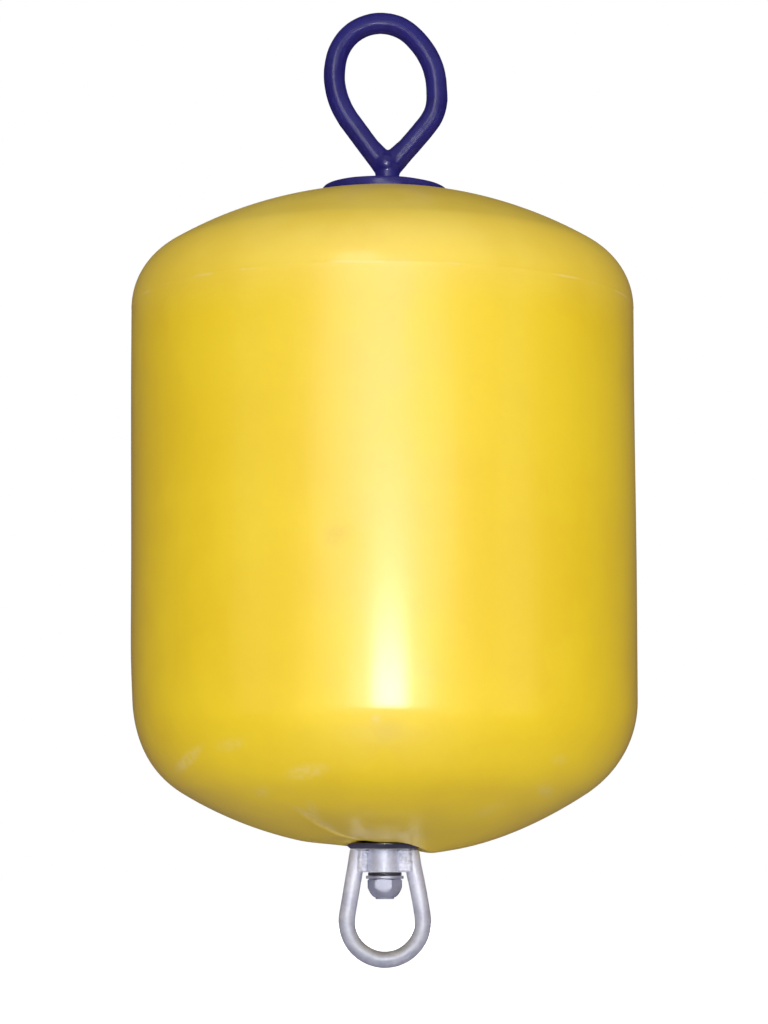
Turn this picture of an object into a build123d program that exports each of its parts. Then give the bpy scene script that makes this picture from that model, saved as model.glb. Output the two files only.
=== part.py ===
"""Mooring buoy: a cylindrical float with domed ends, a through rod bent into a mooring eye
at the top, and a swivel with a bail for the ground chain below.

All sizes are in millimetres. The origin is on the axis at the waterline, which is taken
at half the height of the straight side. +Z is up, and the eye and bail lie in the XZ plane.
"""
import os
from math import asin, atan2, cos, degrees, hypot, radians, sin, sqrt

from build123d import *

os.makedirs("parts", exist_ok=True)

# Float: straight side with a domed end above and below
FLOAT_RADIUS = 250.0
SIDE_LENGTH = 390.4
TOP_CROWN_RADIUS = 416.0
TOP_KNUCKLE_RADIUS = 67.0
BOTTOM_CROWN_RADIUS = 385.0
BOTTOM_KNUCKLE_RADIUS = 106.0

# Through rod and the clearances of what sits on it
ROD_DIAMETER = 20.0
FLOAT_BORE_CLEARANCE = 1.0
SEATED_CLEARANCE = 0.05
RUNNING_CLEARANCE = 0.4
AXIAL_PLAY = 0.3
ROD_END_CHAMFER = 1.5

# Top flange, which rests on a flat land moulded into the upper dome
FLANGE_RADIUS = 62.5
FLANGE_THICKNESS = 9.3
FLANGE_EDGE_RADIUS = 4.5
LAND_MARGIN = 1.0

# Neck above the flange, where both ends of the eye are welded to the rod, a little off its axis
NECK_RADIUS = 12.0
NECK_HEIGHT = 18.5
NECK_OFFSET = 2.5
# Round weld fills between the two ends. Columns: height above the neck's top, radius.
NECK_WELDS = ((0.0, 13.0), (12.0, 9.6))

# Eye: bends of the coated bar's middle line, from the neck up the left leg, round and back.
# Columns: straight run before the bend, bend radius, turn in degrees to the right.
EYE_DIAMETER = 20.8
EYE_LEAN = 36.2
EYE_LEFT_BENDS = ((62.2, 82.4, 47.8), (0.0, 46.0, 78.4))
EYE_RIGHT_BENDS = ((0.0, 46.0, 42.5), (0.0, 72.8, 41.9), (14.1, 42.0, 45.5))
EYE_LAST_RUN = 62.9

# Bottom plate, let into the lower dome
PLATE_RADIUS = 37.0
PLATE_THICKNESS = 6.0
PLATE_RECESS = 5.0
PLATE_EDGE_RADIUS = 1.0

# Swivel: hub on the rod, with a bent bail welded to both sides
HUB_RADIUS = 17.5
HUB_HEIGHT = 22.3
HUB_EDGE_RADIUS = 1.5
BAIL_DIAMETER = 16.0
BAIL_BEND_RADIUS = 37.5
BAIL_LEAN = 9.6
BAIL_DROP = 70.0
BAIL_TOP_GAP = 2.0
WELD_THICKNESS = 11.0
WELD_TOP_GAP = 2.5

# Thrust washer, flat washer and lock nut below the hub
THRUST_WASHER_RADIUS = 16.5
THRUST_WASHER_THICKNESS = 3.3
FLAT_WASHER_RADIUS = 18.5
FLAT_WASHER_THICKNESS = 3.0
NUT_ACROSS_FLATS = 30.0
NUT_HEIGHT = 18.0
NUT_TOP_CHAMFER = 1.6
NUT_SHOULDER_RADIUS = 15.2
NUT_END_RADIUS = 11.4
# How far below the nut's top its corners end and its shoulder lies
NUT_CORNER_DEPTH = 9.0
NUT_SHOULDER_DEPTH = 13.6
ROD_BEYOND_NUT = 2.0


def dome(crown_radius, knuckle_radius):
    """Height of a dome, the angle its crown spans from the axis and the crown's centre depth."""
    reach = FLOAT_RADIUS - knuckle_radius
    span = asin(reach / (crown_radius - knuckle_radius))
    depth = (crown_radius - knuckle_radius) * cos(span)
    return crown_radius - depth, degrees(span), depth


def height_on_crown(crown_radius, depth, radius):
    """Height above the end of the straight side of a point on a dome's crown."""
    return sqrt(crown_radius**2 - radius**2) - depth


# Levels that follow from the sizes above
rod_radius = ROD_DIAMETER / 2
eye_radius = EYE_DIAMETER / 2
bail_radius = BAIL_DIAMETER / 2
side_end = SIDE_LENGTH / 2
top_dome_height, top_span, top_depth = dome(TOP_CROWN_RADIUS, TOP_KNUCKLE_RADIUS)
bottom_dome_height, bottom_span, bottom_depth = dome(BOTTOM_CROWN_RADIUS, BOTTOM_KNUCKLE_RADIUS)
land_radius = FLANGE_RADIUS + LAND_MARGIN
recess_radius = PLATE_RADIUS + LAND_MARGIN
top_land = side_end + height_on_crown(TOP_CROWN_RADIUS, top_depth, land_radius)
recess_rim = -side_end - height_on_crown(BOTTOM_CROWN_RADIUS, bottom_depth, recess_radius)
bottom_land = recess_rim + PLATE_RECESS
flange_top = top_land + FLANGE_THICKNESS
neck_top = flange_top + NECK_HEIGHT
plate_bottom = bottom_land - PLATE_THICKNESS
hub_top = plate_bottom - AXIAL_PLAY
hub_bottom = hub_top - HUB_HEIGHT
thrust_top = hub_bottom - AXIAL_PLAY
flat_washer_top = thrust_top - THRUST_WASHER_THICKNESS
nut_top = flat_washer_top - FLAT_WASHER_THICKNESS
nut_bottom = nut_top - NUT_HEIGHT
rod_bottom = nut_bottom - ROD_BEYOND_NUT
bail_centre = hub_top - BAIL_DROP
seated_bore = rod_radius + SEATED_CLEARANCE
hub_bore = rod_radius + RUNNING_CLEARANCE
float_bore = rod_radius + FLOAT_BORE_CLEARANCE


# Float body
top_land_angle = 90 - degrees(asin(land_radius / TOP_CROWN_RADIUS))
recess_angle = -90 + degrees(asin(recess_radius / BOTTOM_CROWN_RADIUS))
top_knuckle_centre = (FLOAT_RADIUS - TOP_KNUCKLE_RADIUS, side_end)
bottom_knuckle_centre = (FLOAT_RADIUS - BOTTOM_KNUCKLE_RADIUS, -side_end)
with BuildPart() as float_body:
    with BuildSketch(Plane.XZ):
        with BuildLine():
            Polyline((recess_radius, recess_rim), (recess_radius, bottom_land), (float_bore, bottom_land),
                     (float_bore, top_land), (land_radius, top_land))
            CenterArc((0, side_end - top_depth), TOP_CROWN_RADIUS, top_land_angle,
                      90 - top_span - top_land_angle)
            CenterArc(top_knuckle_centre, TOP_KNUCKLE_RADIUS, 90 - top_span, top_span - 90)
            Line((FLOAT_RADIUS, side_end), (FLOAT_RADIUS, -side_end))
            CenterArc(bottom_knuckle_centre, BOTTOM_KNUCKLE_RADIUS, 0, bottom_span - 90)
            CenterArc((0, -side_end + bottom_depth), BOTTOM_CROWN_RADIUS, bottom_span - 90,
                      recess_angle - bottom_span + 90)
        make_face()
    revolve(axis=Axis.Z)
float_body.part.label = "float_body"
export_step(float_body.part, "parts/float_body.step")

# Top flange
with BuildPart() as top_flange:
    with BuildSketch(Plane.XY.offset(top_land)):
        Circle(FLANGE_RADIUS)
        Circle(seated_bore, mode=Mode.SUBTRACT)
    extrude(amount=FLANGE_THICKNESS)
    fillet(top_flange.edges().group_by(Axis.Z)[-1].sort_by(SortBy.RADIUS)[-1], FLANGE_EDGE_RADIUS)
top_flange.part.label = "top_flange"
export_step(top_flange.part, "parts/top_flange.step")


def bend_points(start, heading, bends):
    """Points and headings along a chain of straight runs and bends, heading from straight up."""
    x, z = start
    chain = []
    for run, radius, turn in bends:
        x, z = x + run * sin(radians(heading)), z + run * cos(radians(heading))
        centre = (x + radius * cos(radians(heading)), z - radius * sin(radians(heading)))
        begin = (x, z)
        heading += turn
        x, z = centre[0] - radius * cos(radians(heading)), centre[1] + radius * sin(radians(heading))
        chain.append((begin, centre, radius, turn, (x, z)))
    return chain, (x, z), heading


# Eye rod: the shank, the loop in two halves and the welds at the neck
neck_point = (NECK_OFFSET, neck_top)
left_chain, loop_top, top_heading = bend_points(neck_point, -EYE_LEAN, EYE_LEFT_BENDS)
right_chain, leg_top, leg_heading = bend_points(loop_top, top_heading, EYE_RIGHT_BENDS)
leg_end = (leg_top[0] + EYE_LAST_RUN * sin(radians(leg_heading)),
           leg_top[1] + EYE_LAST_RUN * cos(radians(leg_heading)))


def draw_bends(start, chain):
    """Draws the runs and arcs of a chain into the open line."""
    last = start
    for begin, centre, radius, turn, end in chain:
        if hypot(begin[0] - last[0], begin[1] - last[1]) > 0.001:
            Line(last, begin)
        angle = atan2(begin[1] - centre[1], begin[0] - centre[0])
        CenterArc(centre, radius, degrees(angle), -turn)
        last = end
    return last


with BuildLine(Plane.XZ) as left_line:
    draw_bends(neck_point, left_chain)
with BuildLine(Plane.XZ) as right_line:
    Line(draw_bends(loop_top, right_chain), leg_end)
with BuildPart() as eye_rod:
    with BuildSketch(Plane.XY.offset(rod_bottom)):
        Circle(rod_radius)
    extrude(amount=flange_top - rod_bottom)
    chamfer(eye_rod.edges().group_by(Axis.Z)[0], ROD_END_CHAMFER)
    with BuildSketch(Plane.XY.offset(flange_top)):
        with Locations((NECK_OFFSET, 0)):
            Circle(NECK_RADIUS)
    extrude(amount=NECK_HEIGHT)
    with BuildSketch(Plane(origin=left_line.line @ 0, z_dir=left_line.line % 0)):
        Circle(eye_radius)
    sweep(path=left_line.line)
    with BuildSketch(Plane(origin=right_line.line @ 0, z_dir=right_line.line % 0)):
        Circle(eye_radius)
    sweep(path=right_line.line)
    for rise, weld_radius in NECK_WELDS:
        with Locations((NECK_OFFSET, 0, neck_top + rise)):
            Sphere(weld_radius)
eye_rod.part.label = "eye_rod"
export_step(eye_rod.part, "parts/eye_rod.step")

# Bottom plate
with BuildPart() as bottom_plate:
    with BuildSketch(Plane.XY.offset(plate_bottom)):
        Circle(PLATE_RADIUS)
        Circle(seated_bore, mode=Mode.SUBTRACT)
    extrude(amount=PLATE_THICKNESS)
    fillet(bottom_plate.edges().group_by(Axis.Z)[0].sort_by(SortBy.RADIUS)[-1], PLATE_EDGE_RADIUS)
bottom_plate.part.label = "bottom_plate"
export_step(bottom_plate.part, "parts/bottom_plate.step")

# Swivel hub
with BuildPart() as swivel_hub:
    with BuildSketch(Plane.XY.offset(hub_bottom)):
        Circle(HUB_RADIUS)
        Circle(hub_bore, mode=Mode.SUBTRACT)
    extrude(amount=HUB_HEIGHT)
    fillet(swivel_hub.edges().filter_by(GeomType.CIRCLE).sort_by(SortBy.RADIUS)[-2:], HUB_EDGE_RADIUS)
swivel_hub.part.label = "swivel_hub"
export_step(swivel_hub.part, "parts/swivel_hub.step")

# Swivel bail: two leaning legs and the bend, coped to the hub, with a weld web on each side
lean = radians(BAIL_LEAN)
bend_start = (-BAIL_BEND_RADIUS * cos(lean), bail_centre + BAIL_BEND_RADIUS * sin(lean))
leg_rise = hub_top - BAIL_TOP_GAP - bail_radius * sin(lean) - bend_start[1]
leg_start = (bend_start[0] + leg_rise * sin(lean) / cos(lean), bend_start[1] + leg_rise)
with BuildLine(Plane.XZ) as bail_line:
    Line(leg_start, bend_start)
    CenterArc((0, bail_centre), BAIL_BEND_RADIUS, 180 - BAIL_LEAN, 180 + 2 * BAIL_LEAN)
    Line((-bend_start[0], bend_start[1]), (-leg_start[0], leg_start[1]))
with BuildPart() as swivel_bail:
    with BuildSketch(Plane(origin=bail_line.line @ 0, z_dir=bail_line.line % 0)):
        Circle(bail_radius)
    sweep(path=bail_line.line)
    with BuildSketch(Plane.XZ):
        for side in (-1, 1):
            with BuildLine():
                Polyline((0, hub_bottom), (side * -bend_start[0], hub_bottom),
                         (side * -leg_start[0], hub_top - WELD_TOP_GAP), (0, hub_top - WELD_TOP_GAP),
                         close=True)
            make_face()
    extrude(amount=WELD_THICKNESS / 2, both=True)
    with BuildSketch(Plane.XY.offset(hub_bottom - 1)):
        Circle(HUB_RADIUS + SEATED_CLEARANCE)
    extrude(amount=HUB_HEIGHT + 2, mode=Mode.SUBTRACT)
swivel_bail.part.label = "swivel_bail"
export_step(swivel_bail.part, "parts/swivel_bail.step")

# Washers. Columns: name, radius, top level, thickness
for name, radius, top, thickness in (
        ("thrust_washer", THRUST_WASHER_RADIUS, thrust_top, THRUST_WASHER_THICKNESS),
        ("flat_washer", FLAT_WASHER_RADIUS, flat_washer_top, FLAT_WASHER_THICKNESS)):
    with BuildPart() as washer:
        with BuildSketch(Plane.XY.offset(top - thickness)):
            Circle(radius)
            Circle(seated_bore, mode=Mode.SUBTRACT)
        extrude(amount=thickness)
    washer.part.label = name
    export_step(washer.part, f"parts/{name}.step")

# Lock nut: a hexagon whose lower end is turned down in two tapers
corner = NUT_ACROSS_FLATS / sqrt(3)
face_circle = NUT_ACROSS_FLATS / 2
with BuildPart() as lock_nut:
    with BuildSketch(Plane.XY.offset(nut_bottom)):
        RegularPolygon(face_circle, 6, major_radius=False)
    extrude(amount=NUT_HEIGHT)
    with BuildSketch(Plane.XZ):
        with BuildLine():
            Polyline((0, nut_top), (face_circle, nut_top), (corner, nut_top - NUT_TOP_CHAMFER),
                     (corner, nut_top - NUT_CORNER_DEPTH),
                     (NUT_SHOULDER_RADIUS, nut_top - NUT_SHOULDER_DEPTH),
                     (NUT_END_RADIUS, nut_bottom), (0, nut_bottom), close=True)
        make_face()
    revolve(axis=Axis.Z, mode=Mode.INTERSECT)
    with BuildSketch(Plane.XY.offset(nut_bottom)):
        Circle(seated_bore)
    extrude(amount=NUT_HEIGHT, mode=Mode.SUBTRACT)
lock_nut.part.label = "lock_nut"
export_step(lock_nut.part, "parts/lock_nut.step")
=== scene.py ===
"""Looks of the mooring buoy, built around its packed construction model."""

from math import asin, atan2, cos, pi, radians, sin, sqrt, tan

import bmesh
import bpy
import numpy as np
from bpy.props import FloatProperty, FloatVectorProperty, IntProperty, PointerProperty
from bpy.types import Operator, Panel, PropertyGroup
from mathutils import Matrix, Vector, noise


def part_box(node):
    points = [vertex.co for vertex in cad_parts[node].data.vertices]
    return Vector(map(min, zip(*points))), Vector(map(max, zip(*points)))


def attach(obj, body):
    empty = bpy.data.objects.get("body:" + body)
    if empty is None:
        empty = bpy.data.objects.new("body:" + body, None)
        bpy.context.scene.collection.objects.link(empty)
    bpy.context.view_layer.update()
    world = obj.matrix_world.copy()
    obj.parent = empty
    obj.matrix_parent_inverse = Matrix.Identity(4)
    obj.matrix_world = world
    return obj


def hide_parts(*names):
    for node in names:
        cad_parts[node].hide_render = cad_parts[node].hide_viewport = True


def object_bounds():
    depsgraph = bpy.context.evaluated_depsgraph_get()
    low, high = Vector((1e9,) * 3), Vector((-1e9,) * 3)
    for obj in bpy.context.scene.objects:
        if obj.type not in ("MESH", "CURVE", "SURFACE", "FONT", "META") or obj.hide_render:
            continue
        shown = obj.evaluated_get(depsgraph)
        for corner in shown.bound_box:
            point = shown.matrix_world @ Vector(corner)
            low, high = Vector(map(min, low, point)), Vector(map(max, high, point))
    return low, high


bl_info = {
    "name": "Mooring buoy looks",
    "version": (1, 0, 0),
    "blender": (4, 5, 0),
    "location": "View3D > Sidebar > Buoy",
    "description": "Builds the float skin, coated eye, galvanised swivel and studio of a mooring buoy",
    "category": "Object",
}

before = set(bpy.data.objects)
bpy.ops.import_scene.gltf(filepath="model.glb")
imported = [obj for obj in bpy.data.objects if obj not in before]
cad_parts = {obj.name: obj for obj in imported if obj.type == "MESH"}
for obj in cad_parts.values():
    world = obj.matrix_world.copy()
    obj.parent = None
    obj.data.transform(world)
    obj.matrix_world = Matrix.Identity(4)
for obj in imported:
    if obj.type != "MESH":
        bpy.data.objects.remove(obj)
CAD_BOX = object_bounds()
MM = 0.001
PATH_STEP = 3 * MM

# Bores round the rod, and the float's clearance round the flange and the plate.
FLOAT_BORE = 11 * MM
HUB_BORE = 10.4 * MM
ROD_BORE = 10.05 * MM
SEAT_CLEAR = 1 * MM

# Section of the moulding seam. Columns: share of its height, millimetres above the side's end
SEAM_BEAD = ((0.0, 1.6), (0.6, 0.8), (1.0, 0.0), (0.6, -0.8), (0.0, -1.6))
# How far the seam's pale line wanders, and how far from it the painted sheen of the upper dome sets in.
SEAM_WANDER = 2 * MM
SHEEN_REACH = 45 * MM
# From the edge of the flat land under the flange out to where the dome starts.
LAND_EDGE = 2 * MM

# How the float's skin has settled. A pair is a ramp from 0 at its first value to 1 at its second.
# The side: the radii and heights that lean, and how squarely the fuller foot faces the front.
LEAN_RADII = (0.07, 0.18)
LEAN_LEVELS = (-0.10, 0.15)
FOOT_FRONT = (0.55, 0.95)
# The flatter lower left side: its height z and its half height.
FLAT_LEVEL, FLAT_REACH = -0.215, 0.045
# Forms of the lower dome: ramps over the radius, then over the turn in degrees from the front to the right.
SAG = (((0.039, 0.048), (0.235, 0.075)), ((5, 75), (178, 110)))
PRESS = (((0.185, 0.060),), ((-80, -15), (80, 15)))
CREASE = (((0.040, 0.075), (0.175, 0.110)), ((-31.5, -28.5), (15, -26)))
RIM = (((0.085, 0.042),), ((-5, -42), (-175, -60)))
RIM_SHARE = 0.55
# The dent in the front: place x, height z and radius.
DENT_X, DENT_Z, DENT_RADIUS = -0.041, -0.056, 0.012

# Pale marks on the skin, seen from the front, in millimetres. The row at x -7 is a painted glint below the
# key light's glint, and the rows at x -58 and -66 are a painted highlight along the crease.
# Columns: place x, height z, half length, half width, turn in degrees, strength
PALE_MARKS_AND_GLINTS = (
    (-186.0, -258.0, 27.0, 6.5, 37.0, 0.36),
    (-141.0, -245.0, 18.0, 7.0, 12.0, 0.17),
    (-71.0, -270.0, 22.0, 8.0, 10.0, 0.28),
    (-114.0, -288.0, 10.0, 6.0, 30.0, 0.16),
    (-58.0, -317.0, 36.0, 3.6, -31.0, 0.50),
    (-66.0, -306.0, 16.0, 6.0, -70.0, 0.20),
    (-7.0, -223.0, 6.0, 4.5, 0.0, 0.32),
    (152.0, -286.0, 15.0, 7.0, -30.0, 0.20),
    (164.0, -258.0, 11.0, 6.0, 0.0, 0.13),
    (100.0, -304.0, 18.0, 6.0, 25.0, 0.12),
)
# Painted shade in the dent: a dark patch, in the same columns.
DENT_SHADE = (-42.0, -56.0, 16.0, 12.0, 28.65, 0.30)

# Heights z over which a finish changes: the skin is dull below the first pair, the eye's coating above the
# second, and the zinc is painted darker towards the bail's foot over the third, as painted shade.
SKIN_DULL = (-0.338, -0.300)
EYE_DULL = (0.450, 0.478)
BAIL_SHADE = (-0.45, -0.352)

# Bends of the eye's middle line from the neck, up the left leg, round and back.
# Columns: straight run before the bend, bend radius, turn in degrees to the right
EYE_BENDS = ((62.2, 82.4, 47.8), (0.0, 46.0, 120.9), (0.0, 72.8, 41.9), (14.1, 42.0, 45.5))
EYE_LAST_RUN = 62.9
EYE_LEAN = 36.2
# How the welded eye has settled to the right, in millimetres.
# Columns: height z, shift of the left leg, shift of the right leg
EYE_SETTLE = (
    (330.0, 0.8, 0.8),
    (350.0, 1.0, 0.8),
    (375.0, 1.1, 1.3),
    (395.0, 1.0, 0.7),
    (410.0, 0.4, 0.7),
    (430.0, 0.1, 1.4),
    (450.0, 0.3, 0.6),
    (470.0, 0.6, -0.3),
    (500.0, 0.0, 0.0),
)
# Round weld fills in the eye's fork. Columns: place x, place y, height above the neck's top, radius
EYE_WELDS = ((0.0, 0.0, 0.0, 12.0), (0.0, 0.0, 5.0, 11.6), (-1.0, -2.8, 7.5, 11.6))
# Fill along the fork's inner edges: start above the neck's top, run along each leg, radius.
FORK_FILL = (9.0, 44.0, 9.0)
# Foot of the neck's middle line: shift to the right, height above the flange.
NECK_FOOT = (-0.4 * MM, -4 * MM)
# Weld fillet round the neck's foot. Columns: reach beyond the neck's radius, height above the flange
NECK_FILLET = ((4.0, -2.0), (3.4, 0.6), (0.0, 4.5))
NECK_CORE = 10.5 * MM
FLANGE_FOOT_EDGE = 0.6 * MM
# Bottom plate: width and height of its lower chamfer, and the roundings of its edges.
PLATE_CHAMFER = (4 * MM, 3.6 * MM)
PLATE_EDGE = 1.5 * MM
PLATE_TOP_EDGE = 0.8 * MM

# How far the bail sits to the right, and the heights above its bend over which its right leg comes back.
BAIL_SHIFT = 0.9 * MM
BAIL_RETURN = (22 * MM, 60 * MM)
BAIL_HEAD_GAP = 0.4 * MM
HUB_EDGE = 0.6 * MM
HUB_ROWS = 8
# Weld metal between the hub and the bail's legs, on the front and the back.
# Columns: side, place x and depth y at the top, place x and depth y at the foot
WELD_RUNS = (
    (-1, 18.0, 7.6, 18.6, 7.0),
    (-1, 22.0, 8.4, 23.5, 7.6),
    (1, 16.2, 8.6, 16.8, 8.2),
    (1, 19.8, 9.0, 20.8, 8.0),
    (1, 23.4, 8.6, 25.0, 7.4),
)
# Where weld runs start below the hub's top and end above its foot.
WELD_HEAD = 1.8 * MM
WELD_FOOT = 2.2 * MM
# Short welds across the hub's sides: how many, the lowest above the hub's foot, reach, half length.
CROSS_WELDS = (6, 2.4 * MM, 0.8 * MM, 4 * MM)
# Least and most stretch of a weld ripple.
RIPPLE_LEAST = (0.8, 0.75, 0.6)
RIPPLE_MOST = (1.3, 1.2, 0.95)

# Turned lower end of the nut, in millimetres. Columns: height above its foot, radius
NUT_TAPER = ((0.0, 10.6), (1.6, 12.6), (4.6, 14.8))
# The nut's corners are whole from the first height above its foot to the second below its top.
NUT_WHOLE = 9.5 * MM
NUT_CHAMFER = 1.6 * MM
NUT_TURN = radians(6)
NUT_SOFT = 0.35 * MM
# Thread end of the rod, in millimetres. Columns: radius, height above the nut's foot
ROD_END = ((9.95, 6.0), (9.95, 0.2), (9.1, -0.5), (9.55, -1.1))
ROD_TIP = 8.2 * MM

# Directions in the room, by a ray's part towards the back or upwards, as ramps.
BACK_TO_FRONT = (0.1, -0.3)
WALL_TO_CEILING = (0.05, 0.55)
WALL_TO_GROUND = (-0.05, -0.85)
FLOOR_REACH = 12.0


# Settings

def length(name, description, millimetres):
    """A length property whose default is given in millimetres."""
    return FloatProperty(name=name, description=description, default=millimetres * MM, unit="LENGTH")


def angle(name, description, turn):
    """An angle property."""
    return FloatProperty(name=name, description=description, default=turn, subtype="ANGLE")


def watts(name, description, power):
    """A light's power."""
    return FloatProperty(name=name, description=description, default=power)


def colour(name, description, rgb):
    """A colour property."""
    return FloatVectorProperty(name=name, description=description, default=rgb, size=3, subtype="COLOR",
                               min=0.0, soft_max=1.0)


class BUOY_PG_float(PropertyGroup):
    """Sizes of the float's skin."""
    side_length: length("Side length", "Height of the straight side", 390.4)
    radius: length("Radius", "Radius of the straight side", 250.0)
    top_crown: length("Top crown", "Crown radius of the upper dome", 416.0)
    top_knuckle: length("Top knuckle", "Knuckle radius of the upper dome", 67.0)
    bottom_crown: length("Bottom crown", "Crown radius of the lower dome", 385.0)
    bottom_knuckle: length("Bottom knuckle", "Knuckle radius of the lower dome", 106.0)
    seam_height: length("Seam height", "How far the moulding seam stands proud", 0.15)
    lean: length("Lean", "How far the upper side leans to the left", 1.5)
    flat: length("Flat", "How far the lower left side is drawn in", 2.5)
    sag: length("Sag", "How far the lower dome sags on its right side", 6.2)
    press: length("Press", "How far the lower dome is pressed in at its front", 5.4)
    crease: length("Crease", "Height of the step at the pressed front's left edge", 1.3)
    dent: length("Dent", "Depth of the small dent in the front", 0.7)
    foot: length("Foot", "How far the straight side runs on down in the front", 18.0)
    foot_end: length("Foot end", "Where the fuller front foot has run into the knuckle", 67.0)
    segments: IntProperty(name="Segments", description="Faces round the skin", default=400)


class BUOY_PG_eye(PropertyGroup):
    """Sizes of the coated mooring eye and its flange."""
    bar: length("Bar", "Diameter of the coated bar", 21.5)
    neck: length("Neck", "Radius of the coated neck", 12.1)
    neck_height: length("Neck height", "Height of the neck above the flange", 18.5)
    neck_offset: length("Neck offset", "How far the eye sits to the right of the axis", 2.5)
    edge: length("Flange edge", "Rounding of the flange's upper edge", 3.6)
    skin: length("Coating", "Thickness of the coating on the flange", 0.8)
    tilt: angle("Tilt", "How far the flange leans down to its right", radians(1.3))
    lumps: length("Lumps", "Unevenness of the dipped coating", 0.22)


class BUOY_PG_swivel(PropertyGroup):
    """Sizes of the swivel below the float."""
    bail: length("Bail bar", "Diameter of the bail's bar", 16.2)
    bend: length("Bend", "Bend radius of the bail's middle line", 37.5)
    lean: angle("Lean", "Inward lean of the bail's legs", radians(9.6))
    drop: length("Drop", "From the hub's top down to the bend's centre", 70.6)
    weld: length("Weld", "Radius of a weld ripple", 2.9)
    hang: length("Hang", "How far the rod's end and its nut hang to the right", 0.8)
    pitch: length("Weld pitch", "From one weld ripple to the next", 3.1)


class BUOY_PG_finish(PropertyGroup):
    """Colours of the finishes."""
    skin: colour("Float skin", "Yellow of the float", (0.895, 0.657, 0.004))
    skin_deep: colour("Float skin, deep", "Darker yellow of the cloudy patches", (0.86, 0.611, 0.003))
    # This pale colour is the seam's and the marks' own, and also paints the sheen on the upper dome and the
    # glints and crease highlight among the marks.
    chalk_and_sheen: colour("Chalk", "Pale yellow of the seam and the rub marks", (0.92, 0.78, 0.36))
    coating: colour("Coating", "Blue of the dipped coating", (0.024, 0.021, 0.185))
    coating_deep: colour("Coating, deep", "Darker blue of the dipped coating", (0.018, 0.015, 0.148))
    # The plate's colour is the blue coating painted dark, as painted shade under the float.
    plate: colour("Plate", "Dark coating of the bottom plate", (0.055, 0.052, 0.085))
    zinc: colour("Zinc", "Pale grey of the galvanised steel", (0.82, 0.85, 0.95))
    zinc_dull: colour("Zinc, dull", "Darker grey of the galvanised steel", (0.63, 0.66, 0.78))
    plated: colour("Plated steel", "Grey of the nut and washer", (0.52, 0.54, 0.64))
    bearing: colour("Bearing", "Dark plastic of the thrust washer", (0.02, 0.019, 0.03))


class BUOY_PG_stage(PropertyGroup):
    """Camera, lights and floor."""
    camera_distance: length("Camera distance", "From the axis to the camera", 2910.0)
    camera_level: length("Camera level", "Height of the camera from the waterline", -347.9)
    camera_pitch: angle("Camera pitch", "Upward tilt", 0.0827)
    lens: FloatProperty(name="Lens", description="Focal length in millimetres", default=103.57)
    shift: FloatProperty(name="Shift", description="Vertical lens shift", default=0.0981)
    key_power: watts("Key power", "Frontal softbox in watts", 18.0)
    key_level: length("Key level", "Height of the frontal softbox", -58.0)
    key_shift: length("Key shift", "How far the frontal softbox stands to the right", 120.0)
    key_width: length("Key width", "Width of the frontal softbox", 800.0)
    key_height: length("Key height", "Height of the frontal softbox", 130.0)
    skirt_power: watts("Skirt power", "Wider, weaker light round the frontal softbox in watts", 8.0)
    strip_power: watts("Strip power", "Tall strip above the frontal softbox in watts", 0.5)
    wide_power: watts("Wide power", "Wide panel behind the strip in watts", 15.0)
    high_power: watts("High power", "Softbox high on the left in watts", 5.5)
    front_power: watts("Front power", "Even fill from the front in watts", 27.3)
    top_power: watts("Top power", "Softbox high in front in watts", 25.5)
    left_power: watts("Left power", "Fill from the left in watts", 24.8)
    right_power: watts("Right power", "Fill from the right in watts", 28.4)
    side_tint: colour("Side tint", "Colour of the fills from the left and right", (1.0, 0.93, 0.82))
    low_power: watts("Low power", "Bounce from low in front in watts", 24.5)
    back_power: watts("Back power", "Fill from behind in watts", 45.0)
    above: colour("Above", "Light of the room's ceiling", (0.305, 0.272, 0.24))
    sheen: colour("Sheen", "Light of the ceiling where it shows in reflections", (0.28, 0.28, 0.28))
    behind: colour("Behind", "Light of the ceiling behind the buoy in reflections", (0.055, 0.045, 0.035))
    around: colour("Around", "Light of the room's walls", (0.025, 0.025, 0.12))
    beneath: colour("Beneath", "Light thrown up from the ground", (0.15, 0.125, 0.21))
    floor_gap: length("Floor gap", "From the bail down to the floor", 20.0)


# Meshes

def new_piece(name, mesh, material, body, slot_name, *nodes):
    """Links a finished mesh as a piece that rides on a body and stands for its nodes."""
    mesh.name = name
    piece = bpy.data.objects.new(name, mesh)
    bpy.context.scene.collection.objects.link(piece)
    mesh.materials.clear()
    mesh.materials.append(material)
    mesh.shade_smooth()
    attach(piece, body)
    if nodes:
        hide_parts(*nodes)


def cleaned(mesh, merge=1e-6):
    """Merges doubles and makes the normals of a closed mesh point outwards."""
    work = bmesh.new()
    work.from_mesh(mesh)
    bmesh.ops.remove_doubles(work, verts=work.verts, dist=merge)
    bmesh.ops.recalc_face_normals(work, faces=work.faces)
    work.to_mesh(mesh)
    work.free()
    mesh.validate()
    return mesh


def mesh_from(name, points, faces):
    """A clean mesh from points and faces."""
    mesh = bpy.data.meshes.new(name)
    mesh.from_pydata([tuple(p) for p in points], [], faces)
    return cleaned(mesh)


def rounded(corners, steps=5):
    """Points of a closed outline of (radius, height, rounding), rounded at each corner."""
    outline = []
    count = len(corners)
    for i, (r, z, rounding) in enumerate(corners):
        here = Vector((r, z))
        if rounding <= 0:
            outline.append((r, z))
            continue
        before = (Vector(corners[i - 1][:2]) - here).normalized()
        after = (Vector(corners[(i + 1) % count][:2]) - here).normalized()
        half = before.angle(after) / 2
        reach = rounding / tan(half)
        centre = here + (before + after).normalized() * (rounding / sin(half))
        start, end = here + before * reach - centre, here + after * reach - centre
        first = atan2(start.y, start.x)
        sweep = atan2(start.x * end.y - start.y * end.x, start.dot(end))
        for k in range(steps + 1):
            turn = first + sweep * k / steps
            outline.append((centre.x + rounding * cos(turn), centre.y + rounding * sin(turn)))
    return outline


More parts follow.
